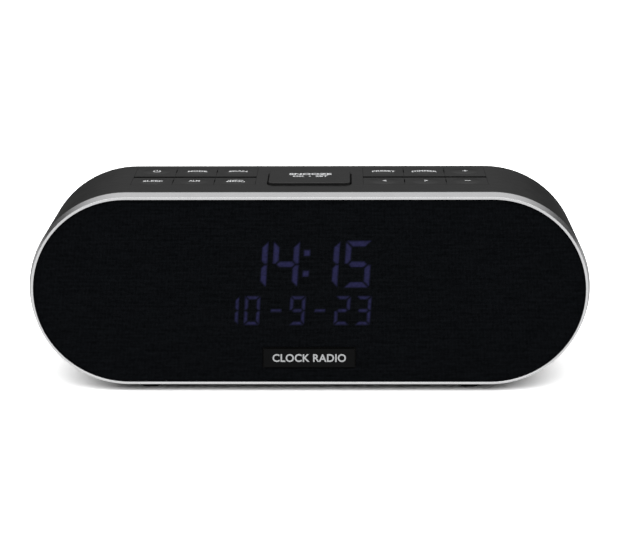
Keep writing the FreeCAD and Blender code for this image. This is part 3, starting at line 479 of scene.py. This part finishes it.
def shown_bars():
    """The outlines of the bars that are lit, found by their place in each digit's cell."""
    bars = bars_of(facing_front("display_segments"))
    lit = []
    for row, above in ((TIME_ROW, True), (DATE_ROW, False)):
        in_row = [bar for bar in bars if (min(z for _, z in bar) > DATE_TOP) == above]
        low = min(z for bar in in_row for _, z in bar)
        high = max(z for bar in in_row for _, z in bar)
        for bar in in_row:
            xs, zs = zip(*bar)
            up = (min(zs) + max(zs)) / 2 - low
            if is_lit((min(xs) + max(xs)) / 2, up, high - low, row):
                lit.append(bar)
    return lit


def distance_to_outline(x, z, corners):
    """The distance to a convex outline, negative inside it."""
    best, inside, sign = 1.0, True, 0
    for (ax, az), (bx, bz) in zip(corners, corners[1:] + corners[:1]):
        dx, dz = bx - ax, bz - az
        length = dx * dx + dz * dz
        if length < 1e-14:
            continue
        t = max(0.0, min(1.0, ((x - ax) * dx + (z - az) * dz) / length))
        best = min(best, math.hypot(x - ax - t * dx, z - az - t * dz))
        side = dx * (z - az) - dz * (x - ax)
        if side * sign < 0:
            inside = False
        sign = sign or (1 if side > 0 else -1)
    return -best if inside else best


class ClothShape:
    """Where the front cloth lies: a stadium round a middle height, with the badge's opening."""

    def __init__(self):
        self.low, self.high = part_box("grille_cloth")
        badge_low, badge_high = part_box("badge_plate")
        self.radius = (self.high.z - self.low.z) / 2
        self.centre = (self.high.z + self.low.z) / 2
        self.straight = self.high.x - self.radius
        self.hole_x = badge_high.x + BADGE_BORDER
        below, above = badge_low.z - BADGE_BORDER, badge_high.z + BADGE_BORDER
        self.hole_z = (below - self.centre, above - self.centre)

    def radii(self):
        """Distances from the centre line of the half-round ends, closer together at the rim."""
        return merged(
            steps(0, FINE_REACH, FINE_STEP),
            [abs(z) for z in self.hole_z],
            steps(FINE_REACH, self.radius - TUCK, COARSE_STEP),
            steps(self.radius - TUCK, self.radius, TUCK / 5),
        )

    def columns(self):
        """Places across the straight middle, closer together in front of the display."""
        return merged(
            steps(-DISPLAY_REACH, DISPLAY_REACH, FINE_STEP),
            [-self.hole_x, self.hole_x],
            steps(-self.straight, -DISPLAY_REACH, COARSE_STEP),
            steps(DISPLAY_REACH, self.straight, COARSE_STEP),
        )

    def in_hole(self, x, z):
        return abs(x) < self.hole_x and self.hole_z[0] < z < self.hole_z[1]

    def depth(self, x, z):
        """How far back the cloth lies at a point: it is tucked in at the rim and the hole."""
        to_rim = self.radius - math.hypot(max(0.0, abs(x) - self.straight), z)
        to_hole = 1.0
        below, above = self.hole_z
        if abs(x) < self.hole_x + TUCK and below - TUCK < z < above + TUCK:
            aside = abs(x) - self.hole_x
            to_hole = math.hypot(max(0.0, aside), max(0.0, below - z, z - above))
        near = min(1.0, min(to_rim, to_hole) / TUCK)
        drape = SLACK * math.sin(x / (13 * MM) + 2 * math.sin(z / (19 * MM)))
        return TUCK_DEPTH * (1 - math.sqrt(max(0.0, 1 - (1 - near) ** 2))) + drape * near


def front_face(bm, shape):
    """The cloth's front: a grid across the middle and a fan round each end."""
    found = {}

    def vert(x, z):
        key = (round(x * 1e6), round(z * 1e6))
        if key not in found:
            y = shape.low.y + SLACK + shape.depth(x, z)
            found[key] = bm.verts.new((x, y, shape.centre + z))
        return found[key]

    radii, columns = shape.radii(), shape.columns()
    levels = [-r for r in reversed(radii)] + radii[1:]
    for z0, z1 in zip(levels, levels[1:]):
        for x0, x1 in zip(columns, columns[1:]):
            if not shape.in_hole((x0 + x1) / 2, (z0 + z1) / 2):
                bm.faces.new((vert(x0, z0), vert(x1, z0), vert(x1, z1), vert(x0, z1)))
    turns = [math.pi * i / FAN_STEPS - math.pi / 2 for i in range(FAN_STEPS + 1)]
    for side in (-1, 1):
        for r0, r1 in zip(radii, radii[1:]):
            for a0, a1 in zip(turns, turns[1:]):
                ring = []
                for r, a in ((r0, a0), (r1, a0), (r1, a1), (r0, a1)):
                    at = vert(side * (shape.straight + r * math.cos(a)), r * math.sin(a))
                    if at not in ring:
                        ring.append(at)
                bm.faces.new(ring if side > 0 else ring[::-1])
    bm.normal_update()
    bmesh.ops.recalc_face_normals(bm, faces=bm.faces[:])
    if sum(face.normal.y for face in bm.faces) > 0:
        bmesh.ops.reverse_faces(bm, faces=bm.faces[:])


def light_up(bm, glow):
    """Writes how much of the display shines through each point of the cloth."""
    bars = []
    for bar in shown_bars():
        xs, zs = zip(*bar)
        bars.append((min(xs) - MM, max(xs) + MM, min(zs) - MM, max(zs) + MM, bar))
    for v in bm.verts:
        x, z = v.co.x, v.co.z
        if abs(x) > DISPLAY_REACH:
            continue
        nearest = 1.0
        for x0, x1, z0, z1, bar in bars:
            if x0 < x < x1 and z0 < z < z1:
                nearest = min(nearest, distance_to_outline(x, z, bar))
        inset, strength = DATE_GLOW if z < DATE_TOP else TIME_GLOW
        share = max(0.0, min(1.0, 0.5 - (nearest + inset) / (2 * GLOW_SPREAD)))
        v[glow] = share * share * (3 - 2 * share) * strength


def thicken(bm, back_y, glow):
    """Closes the sheet with a flat back and a rim."""
    front = list(bm.faces)
    rim = [edge for edge in bm.edges if len(edge.link_faces) == 1]
    copy = {}
    for v in list(bm.verts):
        copy[v] = bm.verts.new((v.co.x, back_y, v.co.z))
        copy[v][glow] = 0.0
    for face in front:
        bm.faces.new([copy[v] for v in reversed(face.verts)])
    for edge in rim:
        a, b = edge.verts
        if edge.link_loops[0].vert is a:
            a, b = b, a
        bm.faces.new((a, b, copy[b], copy[a]))


def front_cloth():
    """The sheet that takes the place of the plain cloth of the CAD."""
    shape = ClothShape()
    bm = bmesh.new()
    front_face(bm, shape)
    glow = bm.verts.layers.float.new("lit")
    light_up(bm, glow)
    thicken(bm, shape.high.y - BACK_PLAY, glow)
    mesh = bpy.data.meshes.new("cloth_sheet")
    bm.to_mesh(mesh)
    bm.free()
    for polygon in mesh.polygons:
        polygon.use_smooth = True
    mesh.set_sharp_from_angle(angle=math.radians(50))
    piece = link("cloth_sheet", mesh, finishes["front_cloth"], "chassis")
    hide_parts("grille_cloth")


# Lettering

CAP_HEIGHT = 0.729  # a capital's share of the type size
INK_SINK = 0.02 * MM  # how far printed marks reach into what they are printed on


def words_mesh(words, cap, centre, width=None, weight=0.0, spacing=1.0, line=1.0):
    """Flat letters around centre, (x, y) in metres, with capitals of height cap. It stands in
    the X-Y plane, 1 mm thick so that its two faces are told apart by the sign of z."""
    curve = bpy.data.curves.new("words", "FONT")
    curve.body = words
    curve.align_x = "CENTER"
    curve.size = 1.0
    curve.offset = weight
    curve.space_character = spacing
    curve.space_line = line
    curve.extrude = 0.5
    curve.resolution_u = 6
    holder = bpy.data.objects.new("words", curve)
    scene.collection.objects.link(holder)
    bpy.context.view_layer.update()
    depsgraph = bpy.context.evaluated_depsgraph_get()
    mesh = bpy.data.meshes.new_from_object(holder.evaluated_get(depsgraph))
    bpy.data.objects.remove(holder)
    bpy.data.curves.remove(curve)
    xs = [v.co.x for v in mesh.vertices]
    ys = [v.co.y for v in mesh.vertices]
    lines = words.count("\n") + 1
    one_cap = CAP_HEIGHT + 2 * weight if lines > 1 else max(ys) - min(ys)
    scale_y = cap / one_cap
    scale_x = width / (max(xs) - min(xs)) if width else scale_y
    middle = ((max(xs) + min(xs)) / 2, (max(ys) + min(ys)) / 2)
    for v in mesh.vertices:
        v.co.x = centre[0] + (v.co.x - middle[0]) * scale_x
        v.co.y = centre[1] + (v.co.y - middle[1]) * scale_y
        v.co.z *= MM
    return mesh


def slab_mesh(outlines):
    """Prisms over flat (x, y) outlines, 1 mm thick like words_mesh."""
    bm = bmesh.new()
    for points in outlines:
        lower = [bm.verts.new((x, y, -0.5 * MM)) for x, y in points]
        upper = [bm.verts.new((x, y, 0.5 * MM)) for x, y in points]
        bm.faces.new(lower[::-1])
        bm.faces.new(upper)
        for i in range(len(points)):
            j = (i + 1) % len(points)
            bm.faces.new((lower[i], lower[j], upper[j], upper[i]))
    bmesh.ops.recalc_face_normals(bm, faces=bm.faces[:])
    mesh = bpy.data.meshes.new("marks")
    bm.to_mesh(mesh)
    bm.free()
    return mesh


def bar(ax, ay, bx, by, width):
    """The outline of a straight stroke with square ends."""
    length = math.hypot(bx - ax, by - ay)
    nx, ny = -(by - ay) / length * width / 2, (bx - ax) / length * width / 2
    return [(ax + nx, ay + ny), (ax - nx, ay - ny), (bx - nx, by - ny), (bx + nx, by + ny)]


def arc(cx, cy, radius, start, end, width, count=28):
    """The outline of a curved stroke, with angles in degrees."""
    turns = [math.radians(start + (end - start) * i / count) for i in range(count + 1)]
    outer, inner = radius + width / 2, radius - width / 2
    points = [(cx + outer * math.cos(a), cy + outer * math.sin(a)) for a in turns]
    return points + [(cx + inner * math.cos(a), cy + inner * math.sin(a)) for a in reversed(turns)]


def surface_of(node):
    """A node's surface, for rays to hit."""
    mesh = nodes[node].data
    corners = [v.co.copy() for v in mesh.vertices]
    faces = [list(p.vertices) for p in mesh.polygons]
    return BVHTree.FromPolygons(corners, faces)


def laid_on(mesh, node, step=0.6 * MM, proud=0.03 * MM):
    """Cuts flat marks into strips and lays them on the top of a node."""
    bm = bmesh.new()
    bm.from_mesh(mesh)
    bmesh.ops.remove_doubles(bm, verts=bm.verts[:], dist=0.002 * MM)
    xs, ys = [v.co.x for v in bm.verts], [v.co.y for v in bm.verts]
    for low, high, axis in ((min(xs), max(xs), 0), (min(ys), max(ys), 1)):
        for place in steps(low, high, step)[1:-1]:
            at, normal = Vector(), Vector()
            at[axis], normal[axis] = place, 1.0
            whole = bm.verts[:] + bm.edges[:] + bm.faces[:]
            bmesh.ops.bisect_plane(bm, geom=whole, plane_co=at, plane_no=normal, dist=1e-8)
    tree = surface_of(node)
    for v in bm.verts:
        hit = tree.ray_cast(Vector((v.co.x, v.co.y, 0.2)), Vector((0, 0, -1)))[0]
        v.co.z = hit.z + (proud if v.co.z > 0 else -INK_SINK)
    bm.to_mesh(mesh)
    bm.free()
    return mesh


legend_ink = printed_ink("legend_ink", (0.90, 0.91, 0.92))
badge_ink = printed_ink("badge_ink", (0.60, 0.61, 0.62), 0.35)
rear_ink = printed_ink("rear_ink", (0.30, 0.30, 0.31))

# The raised pads' rows, and the columns on each side
FRONT_ROW, REAR_ROW, BETWEEN_ROWS = -2.9 * MM, 18.6 * MM, 5 * MM
COLUMNS = [33.7 * MM, 52.5 * MM, 71.3 * MM]
LEGEND_SHIFT, LEGEND_DROP = 0.3 * MM, 1.3 * MM  # from the middle of each raised pad


def pad_centre(key):
    """X and Y of a small key's legend, on its raised pad."""
    low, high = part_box(f"key_{key}")
    row = FRONT_ROW if (low.y + high.y) / 2 < BETWEEN_ROWS else REAR_ROW
    middle = (low.x + high.x) / 2
    places = [side * column for side in (-1, 1) for column in COLUMNS]
    return min(places, key=lambda place: abs(place - middle)) + LEGEND_SHIFT, row - LEGEND_DROP


def legend(key, mesh):
    link(f"legend_{key}", laid_on(mesh, f"key_{key}"), legend_ink, f"key_{key}")


# Words, width and height of capitals in millimetres
WORDED_KEYS = {
    "mode": ("MODE", 8.9, 2.3),
    "scan": ("SCAN", 8.6, 2.3),
    "sleep": ("SLEEP", 9.0, 2.2),
    "alarm": ("ALM", 5.0, 2.2),
    "preset": ("PRESET", 10.7, 2.3),
    "dimmer": ("DIMMER", 11.6, 2.3),
}


def power_symbol(x, y):
    """A broken ring with an upright stroke in its gap."""
    ring = arc(x, y - 0.15 * MM, 1.55 * MM, 125, 415, 0.5 * MM)
    return slab_mesh([ring, bar(x, y + 2.0 * MM, x, y - 0.1 * MM, 0.5 * MM)])


def plus_symbol(x, y):
    """An upright stroke and an arm on each side of it."""
    reach, stroke, inner = 1.2 * MM, 0.55 * MM, 0.27 * MM
    upright = bar(x, y - reach, x, y + reach, stroke)
    left, right = bar(x - reach, y, x - inner, y, stroke), bar(x + inner, y, x + reach, y, stroke)
    return slab_mesh([upright, left, right])


def minus_symbol(x, y):
    return slab_mesh([bar(x - 1.35 * MM, y, x + 1.35 * MM, y, 0.6 * MM)])


def chevron_symbol(x, y, side):
    """An arrowhead that points to one side."""
    tip, tail, rise, stroke = x + side * 0.95 * MM, x - side * 0.85 * MM, 1.35 * MM, 0.62 * MM
    outline = [
        (tail, y + rise),
        (tail, y + rise - stroke * 1.15),
        (tip - side * stroke * 1.3, y),
        (tail, y - rise + stroke * 1.15),
        (tail, y - rise),
        (tip, y - stroke * 0.05),
        (tip, y + stroke * 0.05),
    ]
    return slab_mesh([outline])


def key_legends():
    for key, (words, width, cap) in WORDED_KEYS.items():
        legend(key, words_mesh(words, cap * MM, pad_centre(key), width * MM, 0.022))
    two_lines = words_mesh("INFO\nMENU", 1.75 * MM, pad_centre("menu"), 8.2 * MM, 0.014, 1.0, 0.82)
    legend("menu", two_lines)
    legend("power", power_symbol(*pad_centre("power")))
    legend("volume_up", plus_symbol(*pad_centre("volume_up")))
    legend("volume_down", minus_symbol(*pad_centre("volume_down")))
    for key, side in (("previous", -1), ("next", 1)):
        legend(key, chevron_symbol(*pad_centre(key), side))
    legend("snooze", words_mesh("SNOOZE", 3.6 * MM, (LEGEND_SHIFT, 6.2 * MM), 19.4 * MM, 0.03))
    second = words_mesh("OK  •  SET", 2.6 * MM, (LEGEND_SHIFT, 1.5 * MM), 16.0 * MM, 0.03)
    link("legend_snooze_second", laid_on(second, "key_snooze"), legend_ink, "key_snooze")


def stood_up(mesh, y, depth, towards):
    """Turns flat marks to face the front (towards -1) or the back (towards 1)."""
    for v in mesh.vertices:
        x, up, proud = v.co.x, v.co.y, v.co.z > 0
        v.co = Vector((x * -towards, y + towards * (depth if proud else -INK_SINK), up))
    mesh.update()
    return mesh


def badge_words():
    """Plain words on the badge."""
    low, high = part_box("badge_plate")
    middle = ((low.x + high.x) / 2, (low.z + high.z) / 2)
    mesh = words_mesh("CLOCK RADIO", 3.7 * MM, middle, 33.0 * MM, 0.02, 1.04)
    mesh = stood_up(mesh, low.y, 0.06 * MM, -1)
    link("badge_words", mesh, badge_ink, "chassis")


def rear_words():
    """Plain words over the sockets and the aerial's bush."""
    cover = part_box("rear_cover")[1].y
    for name, words, x, width in (
        ("dc", "DC IN", -30.0, 8.2),
        ("phones", "PHONES", -12.0, 10.5),
        ("aerial", "AERIAL", 30.0, 9.5),
    ):
        mesh = words_mesh(words, 2.0 * MM, (-x * MM, 29.5 * MM), width * MM, 0.01)
        mesh = stood_up(mesh, cover, 0.03 * MM, 1)
        link(f"rear_words_{name}", mesh, rear_ink, "chassis")


# Stage


def soft_box(name, at, aim, size, power):
    """A rectangular lamp of power watts that faces a point."""
    lamp = bpy.data.lights.new(name, "AREA")
    lamp.shape = "RECTANGLE"
    lamp.size, lamp.size_y = size
    lamp.energy = power
    holder = bpy.data.objects.new(name, lamp)
    holder.location = at
    holder.rotation_euler = (Vector(aim) - Vector(at)).to_track_quat("-Z", "Y").to_euler()
    scene.collection.objects.link(holder)


def white_floor():
    """A wide white bowl, flat round the radio and upright at its rim."""
    g = Graph("floor_white")
    tone = g.ramp(g.noise(0.4, 2.0), [(0.3, grey(2.2)), (0.7, grey(2.25))])
    material = g.finish(Base_Color=tone, Roughness=0.9, Specular=0.0)
    bm = bmesh.new()
    radius, wall, count = 5.0, 4.0, 64
    profile = [(radius * i / 6, 0.0) for i in range(1, 7)]
    for a in [math.radians(7.5 * i) for i in range(1, 13)]:
        profile.append((radius + wall * math.sin(a), wall * (1 - math.cos(a))))
    turns = [2 * math.pi * i / count for i in range(count)]
    rings = []
    for r, z in profile:
        rings.append([bm.verts.new((r * math.cos(a), r * math.sin(a), z)) for a in turns])
    bm.faces.new(rings[0])
    for inner, outer in zip(rings, rings[1:]):
        for i in range(count):
            j = (i + 1) % count
            bm.faces.new((inner[i], outer[i], outer[j], inner[j]))
    for face in bm.faces:
        face.smooth = True
    bmesh.ops.recalc_face_normals(bm, faces=bm.faces[:])
    mesh = bpy.data.meshes.new("floor")
    bm.to_mesh(mesh)
    bm.free()
    mesh.materials.append(material)
    floor = bpy.data.objects.new("floor", mesh)
    scene.collection.objects.link(floor)
    floor.visible_glossy = False
    floor.visible_diffuse = False
    floor.visible_shadow = False
    return floor


def shaded_ground():
    """A dark plate just under the floor, so that no light reaches the radio from below it."""
    g = Graph("ground_shade")
    tone = g.ramp(g.noise(0.02), [(0.3, grey(0.01)), (0.7, grey(0.015))])
    half_x, half_y = cad_box[1].x - 0.012, cad_box[1].y + 0.004
    mesh = slab_mesh(
        [[(-half_x, -half_y), (half_x, -half_y), (half_x, half_y), (-half_x, half_y)]]
    )
    for v in mesh.vertices:
        v.co.z -= 1.5 * MM
    mesh.materials.append(g.finish(Base_Color=tone, Roughness=0.9, Specular=0.0))
    plate = bpy.data.objects.new("ground_shade", mesh)
    scene.collection.objects.link(plate)
    plate.visible_camera = False
    return plate


def studio_light():
    """A pale room: bright above and over the floor, dim low down behind the radio."""
    g = Graph("studio", world=True)
    way = g.add("ShaderNodeSeparateXYZ", {"Vector": g.place})
    up, back = way.outputs["Z"], way.outputs["Y"]
    behind = [(0.02, 0.02), (0.16, 0.06), (0.28, 0.10), (0.58, 0.62), (0.75, 0.66), (1.0, 0.6)]
    ahead = [(0.0, 0.01), (0.3, 0.03), (0.42, 1.25), (0.8, 1.25), (1.0, 0.7)]
    behind, ahead = ([(place, grey(tone)) for place, tone in run] for run in (behind, ahead))
    above = g.mix(g.remap(back, -0.3, 0.3, 0.0, 1.0), g.ramp(up, ahead), g.ramp(up, behind))
    along = g.remap(back, -1.0, 1.0, 0.0, 1.0)
    floor = [(0.0, 0.8), (0.25, 0.8), (0.5, 0.92), (0.72, 0.5), (0.93, 0.4), (0.985, 0.04)]
    below = g.ramp(along, [(place, grey(tone)) for place, tone in floor])
    colour = g.mix(g.remap(up, -0.03, 0.03, 0.0, 1.0), below, above)
    lit = g.add("ShaderNodeBackground", {"Color": colour, "Strength": 1.0})
    g.tree.links.new(lit.outputs[0], g.output.inputs["Surface"])
    return g.material


def stage():
    white_floor()
    shaded_ground()
    scene.world = studio_light()
    soft_box("overhead", (0.0, -1.1, 1.7), (0, 0, 0), (2.6, 1.6), 12)
    soft_box("left", (-1.8, 0.1, 0.75), (0, 0, 0.05), (1.2, 0.8), 3)
    soft_box("right", (1.8, 0.1, 0.75), (0, 0, 0.05), (1.2, 0.8), 3)


place_camera()
front_cloth()
key_legends()
badge_words()
rear_words()
stage()
